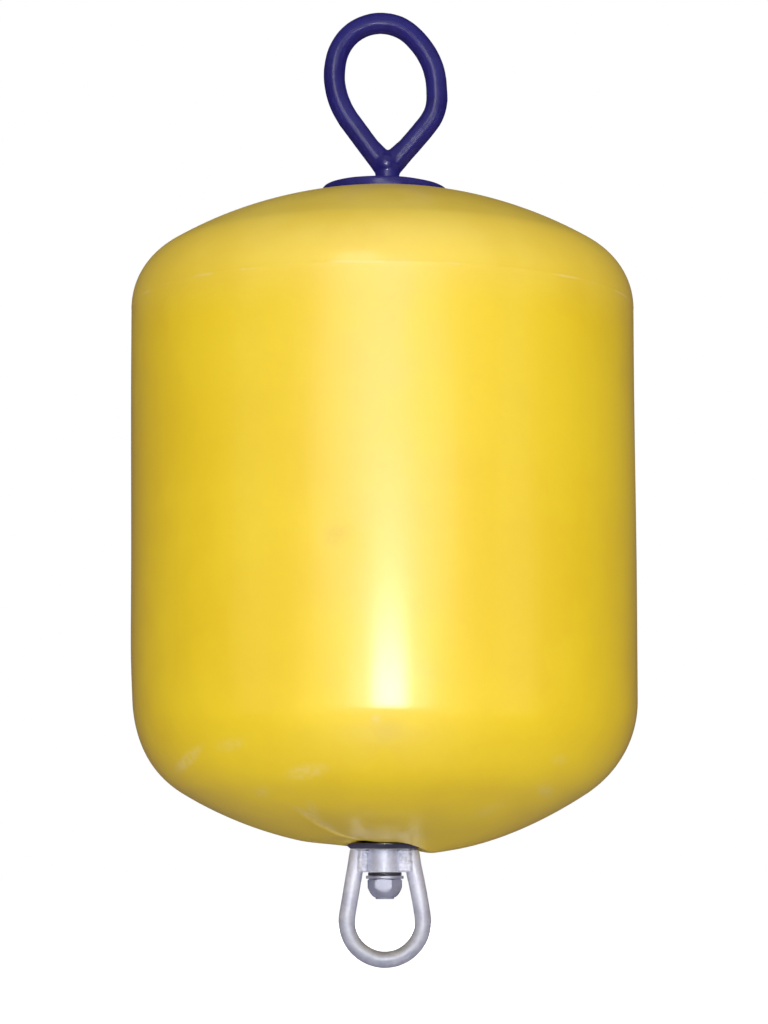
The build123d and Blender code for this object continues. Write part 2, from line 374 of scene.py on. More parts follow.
def ring_outline(low, high, bore, edge, rows=1):
    """Outline of a ring that fills a box, with rounded outer edges and its wall cut into rows."""
    wall = [(high.x, low.z + (high.z - low.z) * k / rows, 0) for k in range(1, rows)]
    return rounded(((bore, low.z, 0), (high.x, low.z, edge), *wall, (high.x, high.z, edge),
                    (bore, high.z, 0)))


def ring_mesh(name, angles, radius, levels, centre):
    """A closed ring about x = centre, from the radius at each angle and level."""
    turns, count = len(angles), len(levels)
    points = np.stack((centre + radius * np.cos(angles)[:, None], radius * np.sin(angles)[:, None],
                       np.tile(levels, (turns, 1))), axis=-1).reshape(-1, 3)
    faces = []
    for a in range(turns):
        here, there = a * count, (a + 1) % turns * count
        faces += [(here + i, here + (i + 1) % count, there + (i + 1) % count, there + i)
                  for i in range(count)]
    return mesh_from(name, points, faces)


def lathe(name, outline, segments, centre=0.0):
    """A closed ring turned from an outline of (radius, height) points about x = centre."""
    radius, levels = np.array(outline).T
    return ring_mesh(name, np.linspace(0, 2 * pi, segments, endpoint=False), radius, levels, centre)


def ball(name, centre, radius):
    """A round lump."""
    work = bmesh.new()
    bmesh.ops.create_icosphere(work, subdivisions=4, radius=radius)
    bmesh.ops.translate(work, verts=work.verts, vec=centre)
    mesh = bpy.data.meshes.new(name)
    work.to_mesh(mesh)
    work.free()
    return mesh


def coords(mesh):
    """The mesh's points as an array."""
    flat = np.empty(len(mesh.vertices) * 3)
    mesh.vertices.foreach_get("co", flat)
    return flat.reshape(-1, 3)


def set_coords(mesh, points):
    """Writes an array of points back."""
    mesh.vertices.foreach_set("co", points.ravel())
    mesh.update()


def normals(mesh):
    """The mesh's point normals as an array."""
    flat = np.empty(len(mesh.vertices) * 3, np.float32)
    mesh.vertex_normals.foreach_get("vector", flat)
    return flat.reshape(-1, 3).astype(float)


def field(points, scale, seed):
    """Smooth noise from -1 to 1 at each point."""
    offset = Vector((seed * 7.3, seed * 3.1, seed * 5.7))
    return np.array([noise.noise(Vector(p) * scale + offset) for p in points])


def roughen(mesh, *layers):
    """Pushes points in and out by noise. Columns: depth, waves per metre, seed."""
    points, away = coords(mesh), normals(mesh)
    depth = sum(amount * field(points, scale, seed) for amount, scale, seed in layers)
    set_coords(mesh, points + away * depth[:, None])


def smoothstep(low, high, value):
    """0 at low, 1 at high and a smooth ramp between."""
    t = np.clip((value - low) / (high - low), 0, 1)
    return t * t * (3 - 2 * t)


# Node trees

def plug(tree, socket, value):
    """Links a socket to the output it is given, or sets it to a plain value."""
    if isinstance(value, bpy.types.NodeSocket):
        tree.links.new(value, socket)
    else:
        socket.default_value = value


def add(tree, kind, inputs=None, **settings):
    """Adds a node, sets its settings, and links or sets its inputs by name or number."""
    node = tree.nodes.new(kind)
    for key, value in settings.items():
        setattr(node, key, value)
    for key, value in (inputs or {}).items():
        plug(tree, node.inputs[key], value)
    return node


def feed(tree, node, **values):
    """Links or sets a node's inputs, whose names have _ for a space here."""
    for label, value in values.items():
        plug(tree, node.inputs[label.replace("_", " ")], value)


def add_inputs(tree, inputs):
    """Gives a tree its named inputs, as (name, kind of socket, default)."""
    for label, kind, default in inputs:
        socket = tree.interface.new_socket(label, in_out="INPUT", socket_type="NodeSocket" + kind)
        if default is not None:
            socket.default_value = default


def group(name, make):
    """A tree, built the first time it is asked for."""
    return bpy.data.node_groups.get(name) or make()


# Geometry node trees

def path_tree(name, inputs):
    """A geometry tree with named inputs. Gives the tree, its inputs and the edges it takes as a curve."""
    tree = bpy.data.node_groups.new(name, "GeometryNodeTree")
    add_inputs(tree, (("Geometry", "Geometry", None), *inputs, ("Material", "Material", None)))
    tree.interface.new_socket("Geometry", in_out="OUTPUT", socket_type="NodeSocketGeometry")
    given = tree.nodes.new("NodeGroupInput").outputs
    return tree, given, add(tree, "GeometryNodeMeshToCurve", {"Mesh": given["Geometry"]}).outputs["Curve"]


def finish_tree(tree, given, source):
    """Ends a tree in Realize Instances and Set Material."""
    realize = add(tree, "GeometryNodeRealizeInstances", {"Geometry": source})
    paint = add(tree, "GeometryNodeSetMaterial", {"Geometry": realize.outputs["Geometry"],
                                                  "Material": given["Material"]})
    add(tree, "NodeGroupOutput", {"Geometry": paint.outputs["Geometry"]})
    return tree


def sweep_tree():
    """A round bar that follows the edges it is given."""
    tree, given, path = path_tree("bar_along_path", (("Bar Radius", "Float", 0.01), ("Sides", "Int", 32)))
    ring = add(tree, "GeometryNodeCurvePrimitiveCircle", {"Radius": given["Bar Radius"],
                                                          "Resolution": given["Sides"]})
    bar = add(tree, "GeometryNodeCurveToMesh", {"Curve": path, "Profile Curve": ring.outputs["Curve"],
                                                "Fill Caps": True})
    return finish_tree(tree, given, bar.outputs["Mesh"])


def turned_tree():
    """A skin turned about the axis from the outline it is given, drawn in the XZ plane."""
    tree, given, path = path_tree("skin_of_revolution", (("Segments", "Int", 256),))
    turn = add(tree, "GeometryNodeCurvePrimitiveCircle", {"Radius": 1.0, "Resolution": given["Segments"]})
    stand = add(tree, "GeometryNodeTransform", {"Geometry": path, "Translation": (-1.0, 0.0, 0.0)})
    lay = add(tree, "GeometryNodeTransform", {"Geometry": stand.outputs["Geometry"],
                                              "Rotation": (pi / 2, 0.0, 0.0)})
    skin = add(tree, "GeometryNodeCurveToMesh", {"Curve": turn.outputs["Curve"],
                                                 "Profile Curve": lay.outputs["Geometry"]})
    return finish_tree(tree, given, skin.outputs["Mesh"])


def weld_tree():
    """Uneven ripples of weld metal along the edges they are given."""
    tree, given, path = path_tree("weld_ripples", (
        ("Ripple Radius", "Float", 0.003), ("Pitch", "Float", 0.003), ("Seed", "Int", 4)))
    spaced = add(tree, "GeometryNodeResampleCurve", {"Curve": path, "Length": given["Pitch"]}, mode="LENGTH")
    lump = add(tree, "GeometryNodeMeshIcoSphere", {"Radius": given["Ripple Radius"], "Subdivisions": 3})
    size = add(tree, "FunctionNodeRandomValue", {0: RIPPLE_LEAST, 1: RIPPLE_MOST, "Seed": given["Seed"]},
               data_type="FLOAT_VECTOR")
    beads = add(tree, "GeometryNodeInstanceOnPoints", {"Points": spaced.outputs["Curve"],
                                                       "Instance": lump.outputs["Mesh"],
                                                       "Scale": size.outputs[0]})
    return finish_tree(tree, given, beads.outputs["Instances"])


def new_carrier(name, points, edges, faces):
    """A helper object whose modifiers make a mesh."""
    base = bpy.data.meshes.new(name)
    base.from_pydata([tuple(p) for p in points], edges, faces)
    carrier = bpy.data.objects.new(name, base)
    bpy.context.scene.collection.objects.link(carrier)
    return carrier


def plain_mesh(carrier):
    """The plain mesh that a helper object's modifiers make. The helper is removed."""
    graph = bpy.context.evaluated_depsgraph_get()
    mesh = bpy.data.meshes.new_from_object(carrier.evaluated_get(graph))
    if not mesh.polygons:
        raise RuntimeError(f"nothing was made of {carrier.name}")
    base = carrier.data
    carrier.modifiers.clear()
    bpy.data.objects.remove(carrier)
    bpy.data.meshes.remove(base)
    return mesh


def grown(name, chains, tree, values):
    """The plain mesh that a tree makes from one or more chains of points."""
    points, edges = [], []
    for chain in chains:
        edges += [(len(points) + i, len(points) + i + 1) for i in range(len(chain) - 1)]
        points += chain
    carrier = new_carrier(name + "_path", points, edges, [])
    modifier = carrier.modifiers.new("tree", "NODES")
    modifier.node_group = tree
    sockets = {item.name: item.identifier for item in tree.interface.items_tree if item.in_out == "INPUT"}
    for label, value in values.items():
        modifier[sockets[label]] = value
    return plain_mesh(carrier)


def bar_mesh(name, path, radius, material, sides=40):
    """A round bar along a path."""
    return grown(name, [path], group("bar_along_path", sweep_tree),
                 {"Bar Radius": radius, "Sides": sides, "Material": material})


def fused(name, meshes, voxel, smooth_steps):
    """One closed mesh from several that overlap, with their joins softened."""
    points, faces, start = [], [], 0
    for mesh in meshes:
        points.append(coords(mesh))
        faces += [tuple(start + v for v in p.vertices) for p in mesh.polygons]
        start += len(mesh.vertices)
        bpy.data.meshes.remove(mesh)
    carrier = new_carrier(name + "_joined", np.concatenate(points), [], faces)
    remesh = carrier.modifiers.new("fuse", "REMESH")
    remesh.mode = "VOXEL"
    remesh.voxel_size = voxel
    soft = carrier.modifiers.new("soften", "SMOOTH")
    soft.iterations = smooth_steps
    soft.factor = 0.5
    return plain_mesh(carrier)


# Shader groups

def math_node(tree, operation, *values):
    """The result of one arithmetic step."""
    return add(tree, "ShaderNodeMath", dict(enumerate(values)), operation=operation).outputs[0]


def times(tree, first, second):
    """The product of two values."""
    return math_node(tree, "MULTIPLY", first, second)


def plus(tree, first, second):
    """The sum of two values."""
    return math_node(tree, "ADD", first, second)


def larger(tree, first, second):
    """The larger of two values."""
    return math_node(tree, "MAXIMUM", first, second)


def ramp(tree, value, low, high, start=0.0, end=1.0):
    """A smooth ramp from start to end as a value goes from low to high."""
    node = add(tree, "ShaderNodeMapRange", {"Value": value, "From Min": low, "From Max": high,
                                            "To Min": start, "To Max": end}, interpolation_type="SMOOTHSTEP")
    return node.outputs["Result"]


def mixed(tree, factor, first, second):
    """A colour between two, given as sockets or as plain colours."""
    colours = [c if isinstance(c, bpy.types.NodeSocket) else (*c, 1.0) for c in (first, second)]
    node = add(tree, "ShaderNodeMix", {0: factor, 6: colours[0], 7: colours[1]}, data_type="RGBA")
    return node.outputs[2]


def toned(rgb, share):
    """A plain colour, made darker or brighter."""
    return [c * share for c in rgb]


def clouds(tree, place, scale, detail=2.0):
    """Plain noise, 0 to 1, at a scale."""
    return add(tree, "ShaderNodeTexNoise", {"Vector": place, "Scale": scale, "Detail": detail}).outputs[0]


def new_group(name, inputs, output):
    """A shader group that takes a place and named inputs. Gives the tree, its inputs and its one output."""
    tree = bpy.data.node_groups.new(name, "ShaderNodeTree")
    add_inputs(tree, (("Vector", "Vector", None), *inputs))
    tree.interface.new_socket(output, in_out="OUTPUT", socket_type="NodeSocketFloat")
    return tree, tree.nodes.new("NodeGroupInput").outputs, tree.nodes.new("NodeGroupOutput").inputs[output]


def mottle_group():
    """Cloudy patches of two sizes, as a mask."""
    tree, given, mask = new_group("cloudy_mottle", (("Scale", "Float", 8.0),), "Mask")
    large = clouds(tree, given["Vector"], given["Scale"])
    small = clouds(tree, given["Vector"], times(tree, given["Scale"], 5.3), 3.0)
    both = plus(tree, times(tree, large, 0.7), times(tree, small, 0.3))
    tree.links.new(ramp(tree, both, 0.36, 0.64), mask)
    return tree


def peel_group():
    """Height of a skin with soft pits, as left by dipping or moulding."""
    tree, given, height = new_group("dipped_peel", (("Scale", "Float", 300.0),), "Height")
    fine = clouds(tree, given["Vector"], given["Scale"], 1.0)
    wide = clouds(tree, given["Vector"], times(tree, given["Scale"], 0.23), 1.0)
    tree.links.new(plus(tree, times(tree, fine, 0.4), wide), height)
    return tree


def skin_mark_group():
    """An uneven long mark at one place, as a mask."""
    tree, given, mask = new_group("skin_mark", (
        ("Place", "Vector", None), ("Half Length", "Float", 0.01), ("Half Width", "Float", 0.004),
        ("Turn", "Float", 0.0), ("Strength", "Float", 0.5)), "Mask")
    away = add(tree, "ShaderNodeVectorMath", {0: given["Vector"], 1: given["Place"]}, operation="SUBTRACT")
    turned = add(tree, "ShaderNodeVectorRotate", {"Vector": away.outputs[0], "Angle": given["Turn"]},
                 rotation_type="Y_AXIS")
    x, y, z = add(tree, "ShaderNodeSeparateXYZ", {0: turned.outputs[0]}).outputs
    along = math_node(tree, "DIVIDE", x, given["Half Length"])
    across = math_node(tree, "DIVIDE", z, given["Half Width"])
    depth = math_node(tree, "DIVIDE", y, given["Half Length"])
    reach = add(tree, "ShaderNodeCombineXYZ", {0: along, 1: times(tree, depth, 0.5), 2: across})
    far = add(tree, "ShaderNodeVectorMath", {0: reach.outputs[0]}, operation="LENGTH").outputs["Value"]
    broken = ramp(tree, clouds(tree, given["Vector"], 170.0, 3.0), 0.3, 0.62, 0.25, 1.0)
    mark = times(tree, ramp(tree, far, 1.25, 0.2), broken)
    tree.links.new(times(tree, mark, given["Strength"]), mask)
    return tree


def use(tree, name, make, **values):
    """Places a shader group in a tree with its own values and gives its output."""
    node = add(tree, "ShaderNodeGroup", node_tree=group(name, make))
    feed(tree, node, **values)
    return node.outputs[0]


def mottled(tree, place, scale):
    """Mask of the cloudy mottle."""
    return use(tree, "cloudy_mottle", mottle_group, Vector=place, Scale=scale)


def peeled(tree, place, scale):
    """Height of the dipped peel."""
    return use(tree, "dipped_peel", peel_group, Vector=place, Scale=scale)


def skin_mark_mask(tree, place, mark):
    """Mask of one mark on the skin; the marks hold pale marks, painted glints and highlights, and the
    painted shade in the dent.
    """
    return use(tree, "skin_mark", skin_mark_group, Vector=place, **mark)


# Materials

def new_material(name, **sockets):
    """A material with its shader's plain sockets set, and the object's coordinates."""
    material = bpy.data.materials.new(name)
    material.use_nodes = True
    tree = material.node_tree
    shader = tree.nodes["Principled BSDF"]
    feed(tree, shader, **sockets)
    return material, tree, shader, add(tree, "ShaderNodeTexCoord").outputs["Object"]


def height_of(tree, place):
    """The height z of a place."""
    return add(tree, "ShaderNodeSeparateXYZ", {0: place}).outputs[2]


def bump(tree, shader, height, strength, distance):
    """Sends a height to the shader's normal."""
    node = add(tree, "ShaderNodeBump", {"Height": height, "Strength": strength, "Distance": distance})
    feed(tree, shader, Normal=node.outputs["Normal"])


def skin_material(finish, seam_level, marks, dent_shade):
    """Glossy yellow skin: cloudy patches, a painted sheen on the upper dome, pale broken seam line, pale
    marks with painted glints, and painted shade in the dent.
    """
    material, tree, shader, place = new_material("yellow_skin_finish", Coat_Roughness=0.165,
                                                 Specular_IOR_Level=0.85)
    mottle = mottled(tree, place, 6.0)
    height = height_of(tree, place)
    line = plus(tree, height, times(tree, clouds(tree, place, 22.0), SEAM_WANDER))
    off = math_node(tree, "ABSOLUTE", math_node(tree, "SUBTRACT", line, seam_level + SEAM_WANDER / 2))
    broken = ramp(tree, clouds(tree, place, 26.0, 3.0), 0.44, 0.66, 0.02, 0.32)
    seam = times(tree, ramp(tree, off, 2.2 * MM, 0.5 * MM), broken)
    patchy = ramp(tree, clouds(tree, place, 15.0, 3.0), 0.48, 0.70, 0.0, 0.18)
    halo = times(tree, ramp(tree, off, 9.0 * MM, 0.0), patchy)
    # Painted sheen: the upper dome is painted paler towards its top, in place of the ceiling's reflection.
    painted_sheen = ramp(tree, height, seam_level - SHEEN_REACH, seam_level + SHEEN_REACH, 0.0, 0.19)
    painted_sheen = times(tree, painted_sheen, ramp(tree, mottle, 0.0, 1.0, 0.8, 1.1))
    # Pale seam, painted sheen and the marks, painted glints among them, together as one mask.
    chalk_and_sheen = larger(tree, larger(tree, seam, halo), painted_sheen)
    # Pale marks, among them a painted glint and a painted highlight along the crease.
    for mark in marks:
        chalk_and_sheen = larger(tree, chalk_and_sheen, skin_mark_mask(tree, place, mark))
    base = mixed(tree, mottle, finish.skin_deep, finish.skin)
    # Painted shade: the skin is painted darker in the dent.
    base = mixed(tree, skin_mark_mask(tree, place, dent_shade), base, toned(finish.skin_deep, 0.72))
    feed(tree, shader, Base_Color=mixed(tree, chalk_and_sheen, base, finish.chalk_and_sheen),
         Roughness=ramp(tree, plus(tree, mottle, chalk_and_sheen), 0.0, 1.5, 0.50, 0.62),
         Coat_Weight=ramp(tree, height, *SKIN_DULL, 0.34, 0.55))
    bump(tree, shader, peeled(tree, place, 420.0), 0.10, 0.3 * MM)
    return material


def coating_material(name, light, deep):
    """Glossy dipped coating with a soft uneven surface, rubbed dull at the top of the eye."""
    material, tree, shader, place = new_material(name, Coat_Roughness=0.23, Specular_IOR_Level=0.08)
    mottle = mottled(tree, place, 38.0)
    feed(tree, shader, Base_Color=mixed(tree, mottle, deep, light),
         Roughness=ramp(tree, mottle, 0.0, 1.0, 0.30, 0.44),
         Coat_Weight=ramp(tree, height_of(tree, place), *EYE_DULL, 0.95, 0.28))
    bump(tree, shader, peeled(tree, place, 380.0), 0.04, 0.4 * MM)
    return material


def zinc_material(finish):
    """Hot-dip galvanised steel: dull spangle, cloudy bloom and soft pits, painted darker towards the bail's
    foot as painted shade.
    """
    material, tree, shader, place = new_material("galvanised_finish", Metallic=0.4)
    spangle = add(tree, "ShaderNodeTexVoronoi", {"Vector": place, "Scale": 260.0}).outputs["Color"]
    tone = add(tree, "ShaderNodeSeparateColor", {0: spangle}).outputs[0]
    mask = plus(tree, times(tree, mottled(tree, place, 60.0), 0.65), times(tree, tone, 0.35))
    # Painted shade: the zinc is painted darker towards the bail's foot, away from the light from above.
    shaded_foot = mixed(tree, mask, toned(finish.zinc_dull, 0.60), toned(finish.zinc, 0.62))
    upper_zinc = mixed(tree, mask, finish.zinc_dull, finish.zinc)
    feed(tree, shader, Base_Color=mixed(tree, ramp(tree, height_of(tree, place), *BAIL_SHADE), shaded_foot, upper_zinc),
         Roughness=ramp(tree, mask, 0.0, 1.0, 0.44, 0.58))
    bump(tree, shader, peeled(tree, place, 640.0), 0.25, 0.4 * MM)
    return material


def plated_material(finish):
    """Zinc-plated steel with faint turning lines."""
    material, tree, shader, place = new_material("plated_steel_finish", Metallic=0.65)
    mottle = mottled(tree, place, 110.0)
    feed(tree, shader, Base_Color=mixed(tree, mottle, toned(finish.plated, 0.82), finish.plated),
         Roughness=ramp(tree, mottle, 0.0, 1.0, 0.40, 0.52))
    lines = add(tree, "ShaderNodeTexWave", {"Vector": place, "Scale": 700.0, "Distortion": 1.5},
                bands_direction="Z").outputs["Fac"]
    bump(tree, shader, lines, 0.08, 0.1 * MM)
    return material


def bearing_material(finish):
    """Dark bearing plastic, rubbed paler in places."""
    material, tree, shader, place = new_material("bearing_finish")
    mottle = mottled(tree, place, 150.0)
    feed(tree, shader, Base_Color=mixed(tree, mottle, finish.bearing, toned(finish.bearing, 1.8)),
         Roughness=ramp(tree, mottle, 0.0, 1.0, 0.32, 0.45))
    return material


# Float

def dome_outline(radius, crown, knuckle, inner, steps):
    """Points (radius, height above the side's end) from an inner radius out to the side."""
    span = asin((radius - knuckle) / (crown - knuckle))
    depth = (crown - knuckle) * cos(span)
    first = asin(inner / crown)
    outline = [(crown * sin(a), crown * cos(a) - depth) for a in np.linspace(first, span, steps)]
    for a in np.linspace(span, pi / 2, steps)[1:]:
        outline.append((radius - knuckle + knuckle * sin(a), knuckle * cos(a)))
    return outline


def on_front(outline, x, z):
    """The point of the turned skin's front at a sideways place and a height."""
    radii, heights = np.array(sorted(outline, key=lambda p: p[1])).T
    radius = float(np.interp(z, heights, radii))
    return (x, -sqrt(max(radius ** 2 - x ** 2, 0.0)), z)


def mark_values(outline, x, z, half_length, half_width, turn, strength):
    """Inputs of the mark group for a mark on the skin's front."""
    return {"Place": on_front(outline, x * MM, z * MM), "Half_Length": half_length * MM,
            "Half_Width": half_width * MM, "Turn": radians(turn), "Strength": strength}


def shown(form, radius, turn):
    """How strongly a form of the lower dome shows at each point, from 0 to 1."""
    over_radius, over_turn = form
    ramps = [smoothstep(*pair, radius) for pair in over_radius]
    return np.prod(ramps + [smoothstep(*pair, turn) for pair in over_turn], axis=0)


def settle_skin(p, s, recess):
    """Gives the turned skin its lean, its sagging right and pressed front below, and its dent."""
    end = s.side_length / 2
    r = np.maximum(np.hypot(p[:, 0], p[:, 1]), 1e-6)
    right, front = p[:, 0] / r, -p[:, 1] / r
    outer = smoothstep(*LEAN_RADII, r)
    p[:, 0] -= s.lean * outer * smoothstep(*LEAN_LEVELS, p[:, 2])
    low_left = np.clip(-right, 0, 1) ** 2 * np.exp(-((p[:, 2] - FLAT_LEVEL) / FLAT_REACH) ** 2)
    p[:, 0] += s.flat * low_left * outer
    # In the front the side runs on down, and a cubic leads from its foot to the knuckle
    down = np.clip(-end - p[:, 2], 0, s.foot_end)
    t = np.clip((down - s.foot) / (s.foot_end - s.foot), 0, 1)
    side_on = sqrt(s.bottom_knuckle ** 2 - s.foot_end ** 2)
    drop, slope = s.bottom_knuckle - side_on, (s.foot_end - s.foot) * s.foot_end / side_on
    plain = s.bottom_knuckle - np.sqrt(s.bottom_knuckle ** 2 - down ** 2)
    fuller = plain - (3 * drop - slope) * t ** 2 - (slope - 2 * drop) * t ** 3
    p[:, :2] *= (1 + fuller * smoothstep(*FOOT_FRONT, front) / r)[:, None]
    below = (p[:, 2] < -end) & (r > recess - 1e-5)
    turn = np.degrees(np.arctan2(p[:, 0], -p[:, 1]))
    pressed = shown(PRESS, r, turn) + RIM_SHARE * shown(RIM, r, turn)
    p[:, 2] += below * (s.press * pressed + s.crease * shown(CREASE, r, turn) - s.sag * shown(SAG, r, turn))
    off_dent = (p[:, 0] - DENT_X) ** 2 + (p[:, 2] - DENT_Z) ** 2
    p[:, 1] += s.dent * np.exp(-off_dent / DENT_RADIUS ** 2) * (front > 0)


class BUOY_OT_float_skin(Operator):
    """Makes the float's glossy skin with its seam, sagging bottom and dent"""
    bl_idname = "buoy.float_skin"
    bl_label = "Float skin"

    def execute(self, context):
        s = context.scene.buoy_float
        end = s.side_length / 2
        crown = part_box("float_body")[1].z
        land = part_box("top_flange")[1].x + SEAT_CLEAR
        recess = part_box("bottom_plate")[1].x + SEAT_CLEAR
        recess_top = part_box("bottom_plate")[1].z
        top = dome_outline(s.radius, s.top_crown, s.top_knuckle, land, 24)
        top = [(r, end + z) for r, z in top]
        bottom = dome_outline(s.radius, s.bottom_crown, s.bottom_knuckle, recess, 32)
        bottom = [(r, -end - z) for r, z in reversed(bottom)]
        side = [(s.radius, z) for z in np.linspace(end, -end, 84)[1:-1]]
        seam = [(s.radius + s.seam_height * share, end + rise * MM) for share, rise in SEAM_BEAD]
        outline = [(FLOAT_BORE, crown), (land - LAND_EDGE, crown)] + top[:-1] + seam + side + bottom
        outline += [(recess, recess_top), (FLOAT_BORE, recess_top), (FLOAT_BORE, crown)]
        skin = top + side + bottom
        marks = [mark_values(skin, *mark) for mark in PALE_MARKS_AND_GLINTS]
        material = skin_material(context.scene.buoy_finish, end, marks, mark_values(skin, *DENT_SHADE))
        mesh = grown("float_skin", [[(r, 0, z) for r, z in outline]], turned_tree(),
                     {"Segments": s.segments, "Material": material})
        points = coords(mesh)
        settle_skin(points, s, recess)
        set_coords(mesh, points)
        new_piece("float_skin", cleaned(mesh), material, "buoy", "yellow_skin", "float_body")
        return {"FINISHED"}


# Eye, flange and plate

def eye_path(x, z):
    """Points of the eye's middle line from the neck's top and back to it."""
    heading = -radians(EYE_LEAN)
    points = [(x, z)]
    for run, radius, turn in EYE_BENDS + ((EYE_LAST_RUN, 0.0, 0.0),):
        run, radius, turn = run * MM, radius * MM, radians(turn)
        pieces = max(1, int(run / PATH_STEP))
        points += [(x + run * k / pieces * sin(heading), z + run * k / pieces * cos(heading))
                   for k in range(1, pieces + 1)] if run else []
        x, z = points[-1]
        centre = (x + radius * cos(heading), z - radius * sin(heading))
        pieces = max(1, int(radius * turn / PATH_STEP))
        points += [(centre[0] - radius * cos(heading + turn * k / pieces),
                    centre[1] + radius * sin(heading + turn * k / pieces))
                   for k in range(1, pieces + 1)] if radius else []
        x, z = points[-1]
        heading += turn
    levels, left, right = np.array(EYE_SETTLE).T * MM
    crown = max(range(len(points)), key=lambda i: points[i][1])
    return [(x + float(np.interp(z, levels, left if i < crown else right)), 0.0, z)
            for i, (x, z) in enumerate(points)]


class BUOY_OT_mooring_eye(Operator):
    """Makes the coated eye with its welded neck, the coated flange under it and the bottom plate"""
    bl_idname = "buoy.mooring_eye"
    bl_label = "Mooring eye"

    def execute(self, context):
        s = context.scene.buoy_eye
        finish = context.scene.buoy_finish
        coating = coating_material("blue_coating_finish", finish.coating, finish.coating_deep)
        low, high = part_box("top_flange")
        neck_top = high.z + s.neck_height
        path = eye_path(s.neck_offset, neck_top)
        neck_x = path[0][0]
        half = len(path) // 2
        foot = (neck_x + NECK_FOOT[0], 0, high.z + NECK_FOOT[1])
        parts = [bar_mesh("eye_left", path[:half + 2], s.bar / 2, coating),
                 bar_mesh("eye_right", path[half:], s.bar / 2, coating),
                 bar_mesh("eye_neck", [foot, (neck_x, 0, neck_top)], s.neck, coating)]
        parts += [ball("eye_weld", (neck_x + x * MM, y * MM, neck_top + rise * MM), radius * MM)
                  for x, y, rise, radius in EYE_WELDS]
        rise, run, radius = (value * MM for value in FORK_FILL)
        crotch = (neck_x, 0, neck_top + rise)
        for leg in (path, path[::-1]):
            runs = [abs((Vector(p) - Vector(leg[0])).length - run) for p in leg[:len(leg) // 2]]
            parts.append(bar_mesh("eye_fork", [crotch, leg[runs.index(min(runs))]], radius, coating))
        fillet = [(s.neck + reach * MM, high.z + rise * MM) for reach, rise in NECK_FILLET]
        fillet = [(NECK_CORE, fillet[0][1]), *fillet, (NECK_CORE, fillet[-1][1])]
        parts.append(lathe("eye_fillet", fillet, 64, foot[0]))
        mesh = fused("mooring_eye", parts, voxel=1.1 * MM, smooth_steps=16)
        roughen(mesh, (s.lumps, 70.0, 1), (s.lumps * 0.4, 210.0, 2))
        new_piece("mooring_eye", mesh, coating, "buoy", "blue_coating", "eye_rod")

        rim, top = high.x + s.skin, high.z + s.skin
        outline = rounded(((ROD_BORE, low.z, 0), (rim, low.z, FLANGE_FOOT_EDGE), (rim, top, s.edge),
                           (rim * 0.75, top, 0), (rim * 0.5, top, 0), (ROD_BORE, top, 0)))
        flange = lathe("top_flange_coating", outline, 160, s.neck_offset * 0.5)
        roughen(flange, (s.lumps, 45.0, 3))
        points = coords(flange)
        points[:, 2] -= points[:, 0] * tan(s.tilt)
        set_coords(flange, points)
        new_piece("top_flange_coating", flange, coating, "buoy", "blue_coating", "top_flange")

        low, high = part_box("bottom_plate")
        # Painted shade: the plate takes the blue coating painted dark, for the shade under the float.
        plate_shade = coating_material("plate_painted_shade_finish", finish.plate, toned(finish.plate, 0.7))
        wide, tall = PLATE_CHAMFER
        outline = rounded(((ROD_BORE, low.z, 0), (high.x - wide, low.z, PLATE_EDGE),
                           (high.x, low.z + tall, PLATE_EDGE), (high.x, high.z, PLATE_TOP_EDGE),
                           (ROD_BORE, high.z, 0)))
        plate = lathe("bottom_plate_coating", outline, 128)
        new_piece("bottom_plate_coating", plate, plate_shade, "buoy", "blue_coating", "bottom_plate")
        return {"FINISHED"}


# Swivel and its fastening

def bail_path(s, hub_top, leg_top):
    """Points of the bail's middle line from the top of the left leg round to the right one."""
    centre = hub_top - s.drop
    arc = [(s.bend * cos(a), centre + s.bend * sin(a))
           for a in np.linspace(pi - s.lean, 2 * pi + s.lean, 60)]
    rise = leg_top - arc[0][1]
    pieces = int(rise / PATH_STEP)
    leg = [(arc[0][0] + rise * k / pieces * tan(s.lean), arc[0][1] + rise * k / pieces)
           for k in range(pieces, 0, -1)]
    points = leg + arc + [(-x, z) for x, z in reversed(leg)]
    start, end = (centre + height for height in BAIL_RETURN)
    return [(x + BAIL_SHIFT * (1 - (x > 0) * float(smoothstep(start, end, z))), 0.0, z) for x, z in points]


